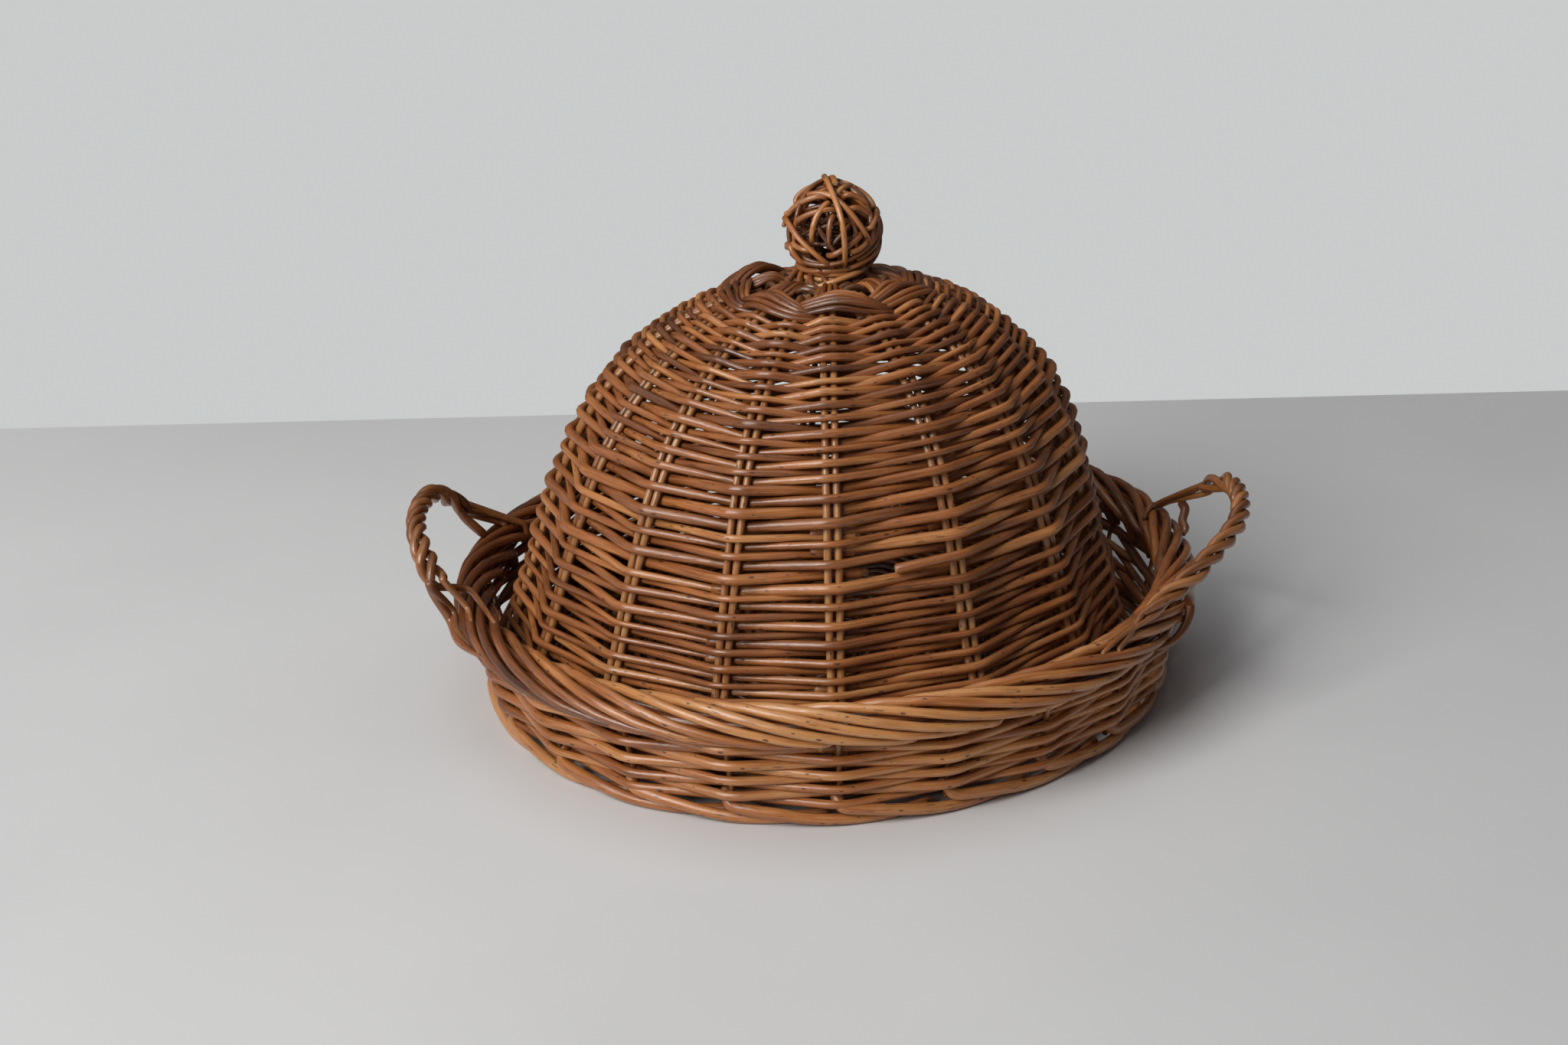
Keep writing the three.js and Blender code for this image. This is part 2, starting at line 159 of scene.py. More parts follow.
def wander(count, step, size):
    """A slow random wave along a line."""
    x = np.arange(count) / step
    wave = sum(np.sin(x * f + chance.uniform(0, 7)) for f in (0.7, 1.31, 2.17))
    return size * wave / 1.7


# Rods and pieces

def shade(middle, spread=0.16):
    """How pale one rod is, from 0 to 1."""
    return float(np.clip(chance.normal(middle, spread), 0.02, 0.98))


def along_rod(values, count):
    """As many values as a rod has points, from one value or from several that are spaced evenly."""
    values = np.atleast_1d(values)
    return np.interp(np.linspace(0, 1, count), np.linspace(0, 1, len(values)), values)


class Rods:
    """The rods of one piece. Each rod is a tube along a line of points."""

    def __init__(self):
        self.points = []
        self.faces = []
        self.smooth = []
        self.grain = []
        self.tint = []
        self.count = 0

    def add(self, line, radius, tone, sides=9, cut=(0, 0, 0)):
        """A tube along a line. Its radius and tone may change, and its far cut faces a given way."""
        line = np.asarray(line, float)
        count = len(line)
        radii = along_rod(radius, count) * (1 + wander(count, 6, 0.03))
        ahead, across, outward = directions(line)
        start = line[0] - ROUNDED_LENGTH * radii[0] * ahead[0]
        end = line[-1] + ROUNDED_LENGTH * radii[-1] * ahead[-1]
        line = np.vstack([start, line, end])
        radii = np.concatenate([[ROUNDED_GIRTH * radii[0]], radii, [ROUNDED_GIRTH * radii[-1]]])
        ahead, across, outward = (np.vstack([v[:1], v, v[-1:]]) for v in (ahead, across, outward))
        turn = np.arange(sides) * 2 * np.pi / sides
        cos, sin = np.cos(turn), np.sin(turn)
        offsets = cos[:, None] * across[:, None] + sin[:, None] * outward[:, None]
        offsets = offsets * radii[:, None, None]
        rings = line[:, None] + offsets
        rings[-2:] -= ahead[-2:, None] * (offsets[-2:] @ np.asarray(cut, float))[..., None]
        along = np.concatenate([[0], np.cumsum(np.linalg.norm(np.diff(line, axis=0), axis=1))])
        grain = np.zeros(rings.shape)
        grain[..., 0] = (along + chance.uniform(0, 2000))[:, None]
        grain[..., 1] = radii[:, None] * cos
        grain[..., 2] = radii[:, None] * sin
        tint = np.zeros(rings.shape)
        tint[..., 0] = along_rod(tone, len(line))[:, None]
        tint[..., 1] = chance.uniform(0, 1)
        ends = tint + (0, 0, 1)
        self.side(rings, grain, tint)
        self.cap(rings[0][::-1], grain[0], ends[0])
        self.cap(rings[-1], grain[-1], ends[-1])

    def side(self, rings, grain, tint):
        count, sides = rings.shape[:2]
        index = self.count + np.arange(count * sides).reshape(count, sides)
        right = np.roll(index, -1, 1)
        quads = np.stack([index[:-1], right[:-1], right[1:], index[1:]], -1).reshape(-1, 4)
        self.faces += quads.tolist()
        self.smooth += [True] * len(quads)
        self.keep(rings.reshape(-1, 3), grain.reshape(-1, 3), tint.reshape(-1, 3))

    def cap(self, ring, grain, tint):
        self.faces.append(list(range(self.count, self.count + len(ring))))
        self.smooth.append(False)
        self.keep(ring, grain, tint)

    def keep(self, points, grain, tint):
        self.points.append(points)
        self.grain.append(grain)
        self.tint.append(tint)
        self.count += len(points)


def make_piece(node, rods, material, body):
    mesh = bpy.data.meshes.new(node + "_wicker")
    mesh.from_pydata((np.vstack(rods.points) * 0.001).tolist(), [], rods.faces)
    mesh.polygons.foreach_set("use_smooth", rods.smooth)
    for name, values in (("grain", rods.grain), ("tint", rods.tint)):
        layer = mesh.attributes.new(name, "FLOAT_VECTOR", "POINT")
        layer.data.foreach_set("vector", np.vstack(values).astype(np.float32).ravel())
    mesh.materials.append(material)
    piece = bpy.data.objects.new(node + "_wicker", mesh)
    bpy.context.scene.collection.objects.link(piece)
    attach(piece, body)
    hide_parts(node)


# Materials

class Nodes:
    """A short way to add and join a material's nodes."""

    def __init__(self, material):
        material.use_nodes = True
        self.tree = material.node_tree
        self.shader = self.tree.nodes["Principled BSDF"]

    def add(self, kind, inputs=(), **settings):
        node = self.tree.nodes.new(kind)
        for key, value in settings.items():
            setattr(node, key, value)
        for key, value in dict(inputs).items():
            self.put(node.inputs[key], value)
        return node

    def put(self, socket, value):
        if isinstance(value, bpy.types.NodeSocket):
            self.tree.links.new(value, socket)
        else:
            socket.default_value = value

    def maths(self, operation, a, b, c=0.0, clamp=False):
        node = self.add("ShaderNodeMath", {0: a, 1: b, 2: c}, operation=operation, use_clamp=clamp)
        return node.outputs[0]

    def scaled(self, vector, scale):
        return self.add("ShaderNodeVectorMath", {0: vector, 1: scale}, operation="MULTIPLY").outputs[0]

    def noise(self, vector, scale, detail, roughness=0.55):
        inputs = {"Vector": vector, "Scale": scale, "Detail": detail, "Roughness": roughness}
        return self.add("ShaderNodeTexNoise", inputs).outputs[0]

    def marks(self, vector, least, size):
        """Spots in some cells of a random pattern: those above the least, up to the given size."""
        cells = self.add("ShaderNodeTexVoronoi", {"Vector": vector, "Scale": 1.0})
        chosen = self.add("ShaderNodeSeparateColor", {0: cells.outputs["Color"]}).outputs[0]
        reach = self.maths("MULTIPLY_ADD", chosen, size / (1 - least), -size * least / (1 - least))
        room = self.maths("SUBTRACT", reach, cells.outputs["Distance"])
        return self.maths("MULTIPLY", room, 12.0, clamp=True)

    def ramp(self, value, stops):
        node = self.add("ShaderNodeValToRGB", {0: value})
        while len(node.color_ramp.elements) < len(stops):
            node.color_ramp.elements.new(0.5)
        for element, (place, colour) in zip(node.color_ramp.elements, stops):
            element.position = place
            element.color = (*colour, 1)
        return node.outputs[0]

    def mix(self, part, a, b):
        node = self.add("ShaderNodeMix", data_type="RGBA")
        self.put(node.inputs[0], part)
        self.put(node.inputs[6], a)
        self.put(node.inputs[7], b)
        return node.outputs[2]


def make_willow(slot, stops, grey):
    """Brown boiled willow: streaks along the rod, stains, dark specks and pale cut ends."""
    material = bpy.data.materials.new(slot + "_wicker")
    material["slot"] = slot
    n = Nodes(material)
    grain = n.add("ShaderNodeAttribute", attribute_name="grain").outputs["Vector"]
    tint = n.add("ShaderNodeAttribute", attribute_name="tint").outputs["Vector"]
    tone, warmth, cut = n.add("ShaderNodeSeparateXYZ", {0: tint}).outputs
    streak = n.noise(n.scaled(grain, (0.035, 1.0, 1.0)), 1.3, 5.0, 0.6)
    patch = n.noise(n.scaled(grain, (0.022, 0.16, 0.16)), 1.0, 3.0)
    value = n.maths("MULTIPLY_ADD", streak, 0.7, -0.35)
    value = n.maths("ADD", value, n.maths("MULTIPLY_ADD", patch, 0.8, -0.4))
    value = n.maths("ADD", value, tone)
    colour = n.ramp(value, stops)
    greyed = n.maths("MULTIPLY", n.maths("MULTIPLY", warmth, warmth), n.maths("MULTIPLY", patch, 0.3))
    colour = n.mix(greyed, colour, grey)
    stain = n.noise(n.scaled(grain, (0.07, 0.45, 0.45)), 1.0, 5.0, 0.7)
    stain = n.maths("MULTIPLY", n.maths("MULTIPLY_ADD", stain, 5.0, -2.85, clamp=True), 0.6)
    knots = n.marks(n.scaled(grain, (0.17, 0.42, 0.42)), 0.5, 0.3)
    scratches = n.marks(n.scaled(grain, (0.10, 1.2, 1.2)), 0.6, 0.35)
    speck = n.maths("MAXIMUM", knots, scratches)
    dark = n.maths("MAXIMUM", stain, n.maths("MULTIPLY", speck, 0.85))
    colour = n.mix(dark, colour, (0.035, 0.014, 0.007, 1))
    rings = n.noise(n.scaled(grain, (0.0, 2.2, 2.2)), 1.0, 2.0)
    end = n.ramp(rings, [(0.3, (0.22, 0.11, 0.045)), (0.6, (0.52, 0.31, 0.14))])
    colour = n.mix(cut, colour, end)
    n.put(n.shader.inputs["Base Color"], colour)
    n.shader.inputs["Specular IOR Level"].default_value = 0.75
    rough = n.maths("MULTIPLY_ADD", streak, 0.32, 0.09)
    rough = n.maths("ADD", rough, n.maths("MULTIPLY", dark, 0.2))
    n.put(n.shader.inputs["Roughness"], n.maths("ADD", rough, n.maths("MULTIPLY", cut, 0.3)))
    fine = n.noise(n.scaled(grain, (0.12, 2.6, 2.6)), 1.6, 3.0)
    height = n.maths("ADD", n.maths("MULTIPLY", streak, 0.7), n.maths("MULTIPLY", fine, 0.3))
    height = n.maths("SUBTRACT", height, n.maths("MULTIPLY", speck, 0.3))
    bump = n.add("ShaderNodeBump", {"Height": height, "Strength": 0.45, "Distance": 0.0005})
    n.put(n.shader.inputs["Normal"], bump.outputs[0])
    return material


WEAVER_STOPS = [
    (0.05, (0.065, 0.019, 0.006)), (0.35, (0.20, 0.060, 0.015)),
    (0.65, (0.39, 0.132, 0.035)), (0.95, (0.60, 0.275, 0.093)),
]
ROD_STOPS = [
    (0.05, (0.095, 0.034, 0.011)), (0.35, (0.27, 0.098, 0.029)),
    (0.65, (0.46, 0.20, 0.068)), (0.95, (0.64, 0.34, 0.135)),
]
weaver_wood = make_willow("willow_weaver", WEAVER_STOPS, (0.20, 0.115, 0.068, 1))
rod_wood = make_willow("willow_rod", ROD_STOPS, (0.24, 0.145, 0.088, 1))


# Weaves

class Strand:
    """One rod of a weave: the uprights that it passes, its place up them and its radius there.

    The lead is how far before its first upright it starts, and how much of its offset it has there.
    The tail is how far it goes on past its last upright.
    """

    def __init__(self, radius, span):
        self.radius = radius
        self.span = span
        self.passes = []
        self.lead = (6, 1)
        self.tail = chance.uniform(4, 9)

    def girth(self):
        part = min(1, len(self.passes) / self.span)
        return self.radius * (THICK_END + (THIN_END - THICK_END) * part)


def wind(count, first, top, close, girth, spans):
    """The rods of two weavers, half a turn apart, one outside the uprights where the other is inside.

    Each rod lies on the rods below it, closer or looser than it is thick. It tapers to its tip and ends
    inside an upright, where the next one starts.
    """
    def new_strand(height):
        return Strand(girth(height) * chance.uniform(0.88, 1.1), int(chance.integers(*spans)))

    level = np.full(count, float(first))
    weavers = [[new_strand(first)], [new_strand(first)]]
    step = 0
    while level.mean() < top:
        for w, strands in enumerate(weavers):
            k = step - w * count // 2
            if k < 0:
                continue
            outside = (k + w) % 2 == 0
            strand = strands[-1]
            radius = strand.girth()
            room = close(level[k % count]) * radius
            height = level[k % count] + room + chance.normal(0, 0.3)
            level[k % count] = height + room
            strand.passes.append((k, outside, height, radius))
            if len(strand.passes) > strand.span and not outside:
                strands.append(new_strand(height))
                strands[-1].passes.append((k, outside, height, strands[-1].girth()))
        step += 1
    return weavers


def add_woven(rods, strand, place, reach, width, tone):
    """Adds a woven rod: bent round each upright that it passes, and straight between them."""
    heights = np.array([p[2] for p in strand.passes])
    heights = np.convolve(np.pad(heights, 1, "edge"), (0.25, 0.5, 0.25), "valid")
    line = []
    for (k, outside, _, radius), height in zip(strand.passes, heights):
        side = 1 if outside else -1
        off = side * (reach(height) + BEND_REST * radius)
        bend = []
        for aside, bulge in ((-width, 0), (0, BEND_BULGE), (width, 0)):
            bend.append(place(k, height, off + side * bulge, aside))
        if line:
            line += [line[-1] + part * (bend[0] - line[-1]) for part in (0.11, 0.89)]
        else:
            before, part = strand.lead
            bend.insert(0, place(k, height, part * off, -width - before))
        line += bend
    line.append(place(k, height, off, width + strand.tail))
    radii = (strand.passes[0][3], strand.passes[-1][3])
    outward = place(k, height, 1, 0) - place(k, height, 0, 0)
    rods.add(rounded(line), radii, tone, 10, outward)


# Tray

def stake_angle(k):
    return (k + 0.5) * STAKE_SPACE + 90


def stake_line(z):
    return FOOT_RADIUS + (RIM_RADIUS - FOOT_RADIUS) * (z - STAKE_BOTTOM) / (STAKE_TOP - STAKE_BOTTOM)


# The way of a rod of the foot, by part of a stake space, radius and height
FOOT_WAY = [
    (-0.03, 179.5, 16.5), (0.0, 183.0, 12.6), (0.06, 184.8, 10.0), (0.25, 185.2, 8.6),
    (0.5, 184.8, 6.8), (0.8, 184.0, 4.3), (1.1, 183.2, 3.2), (1.5, 181.0, 3.1), (1.9, 176.5, 3.5),
]


def make_foot():
    """Each stake ends in a thick rod that turns in a knuckle and runs along the foot, under the next."""
    rods = Rods()
    for k in range(STAKE_COUNT):
        start = stake_angle(k) + chance.uniform(-0.8, 0.8)
        lift = chance.uniform(-0.3, 0.6)
        line = [spot(r, start + part * STAKE_SPACE, z + lift * (part < 0.9)) for part, r, z in FOOT_WAY]
        rods.add(curve_through(line, 7), (1.04 * FOOT_ROD, 0.92 * FOOT_ROD), shade(0.72, 0.09), 12)
    make_piece("foot_border", rods, weaver_wood, "tray")


def make_base():
    """Sticks crossed in the middle and opened out. Gives the rods that are woven round them."""
    sticks = Rods()
    for k in range(BASE_STICK_COUNT):
        angle = k * BASE_STICK_SPACE + 90
        bundle = round(angle / 90) * 90
        aside = (angle - bundle) / BASE_STICK_SPACE
        offset = spot(BASE_STICK_APART * aside, bundle + 90, 0)
        height = FLOOR_HEIGHT + (BASE_STICK_LIFT if bundle % 180 else -BASE_STICK_LIFT)
        line = [spot(r, bundle, height) + offset for r in (2 if abs(aside) < 1 else 4, 26)]
        line += [spot(r, angle, FLOOR_HEIGHT) for r in (46, 60, 100, 140, FLOOR_RADIUS - 1)]
        sticks.add(curve_through(line, 6), (2.2, 2.0), shade(0.5, 0.1))
    make_piece("base_sticks", sticks, rod_wood, "tray")
    weave = Rods()
    for start in (0, 1):
        first = FLOOR_START + FLOOR_PITCH * start
        marks = int((FLOOR_RADIUS - 3 - first) / (2 * FLOOR_PITCH) * BASE_STICK_COUNT)
        for begin in range(0, marks, FLOOR_SPAN):
            line = []
            for j in range(begin, min(begin + FLOOR_SPAN + 1, marks) + 1):
                radius = first + 2 * FLOOR_PITCH * j / BASE_STICK_COUNT
                side = 1 if (j + start) % 2 else -1
                height = FLOOR_HEIGHT + side * FLOOR_SWAY
                angle = j * BASE_STICK_SPACE + 90
                away = math.degrees(3.5 / radius)
                line += [spot(radius, angle + part * away, height) for part in (-1, 0, 1)]
            weave.add(rounded(line), (2.0, 1.8), shade(0.45), 7)
    return weave


def bind_base(weave):
    """Rods that bind the crossed sticks, over two of their bundles and under the other two."""
    for ring, radius in enumerate((18, 21.5, 25, 28.5)):
        angles = np.linspace(0, 368, 70)
        over = np.tanh(2.5 * (np.cos(np.radians(2 * angles)) + 0.25))
        heights = FLOOR_HEIGHT + over * (-5.7 if ring % 2 else 2.6)
        line = [spot(radius, a, z) for a, z in zip(angles, heights)]
        weave.add(line, 1.8, shade(0.45), 7)
    make_piece("base_weave", weave, weaver_wood, "tray")


def make_stakes():
    for k in range(STAKE_COUNT):
        rods = Rods()
        heights = np.linspace(STAKE_BOTTOM, STAKE_TOP + 1, 9)
        line = [spot(stake_line(z) - 0.4, stake_angle(k), z) for z in heights]
        rods.add(line, STAKE_RADIUS, shade(0.4, 0.1))
        make_piece(f"side_stake_{k + 1:02d}", rods, rod_wood, "tray")


def side_place(k, z, off, aside):
    radius = stake_line(z) + off
    return spot(radius, stake_angle(k) + math.degrees(aside / radius), z)


# How close the side's rods lie, how far they stand off the stakes, how widely they bend round a stake, how
# many stakes they pass, and how pale they are, by angle from the front
SIDE_CLOSE = 0.97
SIDE_REACH = 0.9
SIDE_BEND = 4.5
SIDE_SPANS = (8, 15)
SIDE_TONE_AT = (-180, -100, -60, -20, 30, 90, 180)
SIDE_TONE = (0.5, 0.42, 0.55, 0.74, 0.74, 0.56, 0.5)


def make_side():
    weavers = wind(STAKE_COUNT, SIDE_BOTTOM, SIDE_TOP,
                   lambda z: SIDE_CLOSE, lambda z: SIDE_ROD, SIDE_SPANS)
    for letter, strands in zip("ab", weavers):
        rods = Rods()
        for strand in strands:
            angles = [(stake_angle(p[0]) + 180) % 360 - 180 for p in strand.passes]
            tone = np.interp(angles, SIDE_TONE_AT, SIDE_TONE) + chance.normal(0, 0.13)
            add_woven(rods, strand, side_place, lambda z: SIDE_REACH, SIDE_BEND, tone)
        make_piece(f"side_weaver_{letter}", rods, weaver_wood, "tray")


def rim_spot(angle, turn, off):
    """A point round the rim's own ring: turn 0 is outward, 90 the top, 180 inward."""
    t = math.radians(turn)
    return spot(RIM_RADIUS + off * math.cos(t), angle, RIM_HEIGHT + off * math.sin(t))


def on_rim(places):
    """Points on the rim's surface, by angle, turn and lift."""
    return [rim_spot(angle, turn, RIM_HALF + lift) for angle, turn, lift in places]


# Rim: the turn where its rods come up, how many degrees they turn in one degree round the rim, and how
# pale they are, by angle from the front
RIM_START = 215
RIM_LAY = 5.6
RIM_TONE_AT = (-180, -110, -60, -25, 10, 45, 100, 180)
RIM_TONE = (0.45, 0.24, 0.3, 0.84, 0.9, 0.62, 0.48, 0.5)


def make_rim():
    """Rods come up inside, lie over the ones before and end in a slanting cut below the outer edge."""
    rods = Rods()
    for k in range(RIM_RODS):
        start = (k + chance.uniform(-0.12, 0.12)) * 360 / RIM_RODS
        last = chance.uniform(-95, -45)
        middle = (start + 24 + 180) % 360 - 180
        line = [spot(RIM_RADIUS - 4, start - 2, STAKE_TOP - 4)]
        for turn in np.linspace(RIM_START, last, 26):
            part = (RIM_START - turn) / (RIM_START - last)
            off = RIM_HALF - RIM_ROD * (1.02 - 0.3 * part) + chance.normal(0, 0.15)
            line.append(rim_spot(start + (RIM_START - turn) / RIM_LAY * (0.72 + 0.28 * part), turn, off))
        outward = spot(1.5, start + (RIM_START - last) / RIM_LAY, -0.6)
        radius = RIM_ROD * chance.uniform(0.94, 1.06)
        tone = shade(np.interp(middle, RIM_TONE_AT, RIM_TONE), 0.08)
        rods.add(curve_through(line, 3), (radius, 0.68 * radius), tone, 12, outward)
    for turn in (30, 150, 270):
        line = [rim_spot(angle, turn + angle, 3.2) for angle in np.linspace(0, 362, 120)]
        rods.add(line, 3.0, 0.3)
    make_piece("rim_border", rods, weaver_wood, "tray")


# Handles: the middle line of each rope from front to back, how far its strands spread and how often they
# have gone round it along the way, and where they end on the rim, by angle, turn and lift
LEFT_ROPE = [
    (-200, -58, 78), (-203, -54.5, 83.5), (-207, -48, 90), (-212, -37, 97), (-215.5, -20, 102),
    (-215.5, 0, 104.5), (-211.5, 18, 103.5), (-206, 34, 94.5), (-200, 45, 84), (-194.5, 52, 77),
]
LEFT_SPREAD = (4.2, 4.4, 3.3, 3.0, 3.0, 3.0, 2.8)
LEFT_TURNS = (0, 0.35, 1.1, 2.4, 3.3, 3.8)
LEFT_FRONT = [
    [(282, 76, 3.0), (287, 93, 1.8), (294.5, 103, -1.0)],
    [(284, 26, 3.0), (288, 2, 1.6), (293, -12, -1.0)],
    [(286.5, 60, 1.0), (290, 46, -2.0)],
]
LEFT_BACK = [
    [(251.5, 112, 2.4), (250, 140, 1.8), (249.5, 172, -0.5)],
    [(251, 88, 2.0), (250.5, 130, -0.5)],
    [(252.5, 76, 1.5), (252, 100, -1.0)],
]
RIGHT_ROPE = [
    (150, -123, 69.5), (158, -116, 72.5), (166, -109, 75.5), (174, -103, 78.5), (184, -95, 82),
    (194, -84, 86), (205, -70, 90), (214.5, -55, 93.5), (219, -40, 98), (219.3, -26, 100),
    (217, -10, 98), (211.5, 8, 89), (204, 21, 78),
]
RIGHT_SPREAD = (1.6, 3.0, 3.2, 3.1, 3.0, 3.0, 3.2, 3.0)
RIGHT_TURNS = (0, 0.3, 0.9, 1.9, 3.4, 4.1)
RIGHT_FRONT = [
    [(47, 70, 0.8), (42, 58, -1.0)],
    [(48, 80, 0.8), (44, 84, -1.0)],
    [(48.5, 62, 0.5), (45, 45, -1.0)],
]
RIGHT_BACK = [
    [(100.5, 62, 2.0), (99.3, 100, 1.8), (98, 138, -0.5)],
    [(100, 70, 2.2), (99.5, 115, 0.5)],
    [(100, 78, 2.0), (99, 120, 0)],
]

# How thick a strand of a handle is from front to back, in parts of its radius
STRAND_TAPER = np.array([0.5, 0.95, 1, 1, 1, 1, 1, 1, 1, 0.55])


def rope(points, turns, spread):
    """The middle lines of three strands that twist round a line of points."""
    middle = curve_through(points, 10)
    _, across, outward = directions(middle)
    twist = along_rod(turns, len(middle))
    off = along_rod(spread, len(middle))[:, None]
    for s in range(3):
        turn = 2 * np.pi * (twist + s / 3)
        yield middle + off * (np.cos(turn)[:, None] * across + np.sin(turn)[:, None] * outward)


def make_handle(word, points, turns, spread, front, back):
    rods = Rods()
    for line, before, after in zip(rope(points, turns, spread), front, back):
        line = np.vstack([on_rim(before)[::-1], line[5:-5:3], on_rim(after)])
        radius = chance.uniform(2.35, 2.65)
        rods.add(curve_through(line, 5), radius * STRAND_TAPER, shade(0.34, 0.08), 10)
    make_piece(f"{word}_handle", rods, rod_wood, "tray")


def make_lashing(word, end, start, places):
    """A strand that leaves the handle and goes down round the outside of the rim."""
    rods = Rods()
    line = curve_through(np.vstack([start, on_rim(places)]), 6)
    rods.add(line, (2.4, 2.6, 2.5, 2.2, 1.2), shade(0.32, 0.06), 10)
    make_piece(f"{word}_lashing_{end}", rods, weaver_wood, "tray")


def make_lashings():
    """Each one starts at two points on a handle and goes on over places on the rim."""
    make_lashing("left", "two", [(-207, -47, 87), (-205.5, -53, 77)],
                 [(284.5, 8, 3.6), (288.5, -10, 3.0), (292, -13, 2.0), (297.5, -8, -1.0)])
    make_lashing("left", "one", [(-203, 40, 88), (-199, 40, 80)],
                 [(257.5, 66, 2.6), (254, 36, 1.8), (251, 0, 1.4), (249.5, -45, 0.5)])
    make_lashing("right", "one", [(177, -101, 78), (182.5, -92, 71)],
                 [(66, 20, 2.2), (65, -4, 2.2), (62.5, -26, 2.6), (59.5, -38, 2.0), (56.5, -56, -0.5)])
    make_lashing("right", "two", [(201, 23, 73.5), (201.5, 17, 72)],
                 [(93, 50, 3.2), (91.5, 42, 1.8), (91, 34, -1.5)])


# Cloche

def rib_table():
    """The length along a rib, and its line and slope there, as radius and height."""
    ends = np.array([(DOME_RADIUS, RIB_FOOT), (CROWN_RADIUS, CROWN_HEIGHT)])
    rise = CROWN_HEIGHT - RIB_FOOT
    low, high = (np.array([r * DOME_RADIUS, RIB_FOOT + z * rise]) for r, z in (RIB_LOW, RIB_HIGH))
    t = np.linspace(0, 1, 300)[:, None]
    s = 1 - t
    line = s ** 3 * ends[0] + 3 * s ** 2 * t * low + 3 * s * t ** 2 * high + t ** 3 * ends[1]
    height = line[:, 1]
    line[:, 0] += sum(size * np.exp(-((height - at) / width) ** 2) for size, at, width in (SWELL, WAIST))
    slope = np.gradient(line, axis=0)
    slope /= np.linalg.norm(slope, axis=1)[:, None]
    length = np.concatenate([[0], np.cumsum(np.linalg.norm(np.diff(line, axis=0), axis=1))])
    return length, line, slope


RIB_AT, RIB_LINE, RIB_SLOPE = rib_table()
RIB_LENGTH = RIB_AT[-1]

# How far the ribs stray from even spacing, at the foot and at the crown, by their angle from the front
SWAY_AT = (-180, -67.5, -45, -22.5, 0, 22.5, 45, 180)
SWAY_FOOT = (0, 5, 4, 4.5, 2.8, 6.5, 10, 0)
SWAY_CROWN = (0, 5, 4, 1.5, -1.8, -0.5, 0, 0)


def rib_angle(i, length):
    even = (i * RIB_SPACE + 270) % 360 - 180
    foot = np.interp(even, SWAY_AT, SWAY_FOOT)
    crown = np.interp(even, SWAY_AT, SWAY_CROWN)
    return even + foot + (crown - foot) * length / RIB_LENGTH


def settled(point):
    """A point of the cloche, lower where the crown has sunk."""
    fall = SUNK * max(0, point[1] - SUNK_BEHIND) * np.interp(point[2], SUNK_HEIGHTS, (0, 1))
    return point - (0, 0, fall)


def wall(degrees, length, off, side):
    """A point of the dome, by its length up a rib, moved outward and sideways."""
    r, z = (np.interp(length, RIB_AT, RIB_LINE[:, i]) for i in (0, 1))
    dr, dz = (np.interp(length, RIB_AT, RIB_SLOPE[:, i]) for i in (0, 1))
    beyond = length - np.clip(length, 0, RIB_LENGTH)
    r, z = r + dr * beyond, z + dz * beyond
    a = math.radians(degrees)
    point = np.array([np.interp(z, LEAN_AT, LEAN) + r * math.sin(a), -r * math.cos(a), z])
    out = np.array([dz * math.sin(a), -dz * math.cos(a), -dr])
    return settled(point + off * out + side * np.array([math.cos(a), math.sin(a), 0]))


def make_ribs():
    for i in range(RIB_COUNT):
        rods = Rods()
        for side in (-1, 1):
            lengths = np.linspace(-3, RIB_LENGTH - 3, 44)
            stray = wander(len(lengths), 8, 0.25)
            line = [wall(rib_angle(i, s), s, 0, side * RIB_PAIR + d) for s, d in zip(lengths, stray)]
            # Painted shade: each rib's tone darkens towards the crown, where the ribs lie in shade between
            # the weave's rows
            tone = shade(0.62, 0.08) + np.array([0, 0, 0, -0.1, -0.25])
            rods.add(line, (1.04 * RIB_ROD, 0.9 * RIB_ROD), tone)
        make_piece(f"cloche_rib_{i + 1:02d}", rods, rod_wood, "cloche")


# How thick the dome's weavers are, how close they lie and how far they stand off, by length up a rib
DOME_AT = (55, 75, 95, 115, 135, 155, 200, 235)
DOME_ROD = (1.9, 2.1, 2.5, 2.35, 2.25, 2.05, 1.74, 1.95)
DOME_CLOSE = (1.12, 1.15, 1.15, 1.12, 1.08, 0.95, 0.88, 0.9)
DOME_REACH = (2, 2, 2, 2, 2, 2, 1.5, 0.8)

# How widely a weaver bends round a rib, how many ribs a rod passes, and where the weave starts and ends
DOME_BEND = 3.8
DOME_SPANS = (9, 17)
DOME_WEAVE_START = 1.5
DOME_WEAVE_END = RIB_LENGTH - 23

# The rod that has snapped behind the front rib: its height, how far its end goes past the rib, and the
# lead with which it goes on
FRONT_RIB = 12
SNAP_HEIGHT = 116
SNAP_TAIL = 11
SNAP_LEAD = (28, -0.4)


def dome_place(k, length, off, aside):
    return wall(rib_angle(k, length), length, off, aside)


def snap(strands):
    """Breaks one rod between the front rib, behind which it ends, and the next rib."""
    length = np.interp(SNAP_HEIGHT, RIB_LINE[:, 1], RIB_AT)
    places = []
    for s, strand in enumerate(strands):
        for i, (k, _, up, _) in enumerate(strand.passes[:-3]):
            if k % RIB_COUNT == FRONT_RIB and i > 1:
                places.append((abs(up - length), s, i))
    _, s, i = min(places)
    rest = Strand(strands[s].radius, strands[s].span)
    rest.passes = strands[s].passes[i + 1:]
    rest.lead = SNAP_LEAD
    strands[s].passes = strands[s].passes[:i + 1]
    strands[s].tail = SNAP_TAIL
    strands.insert(s + 1, rest)


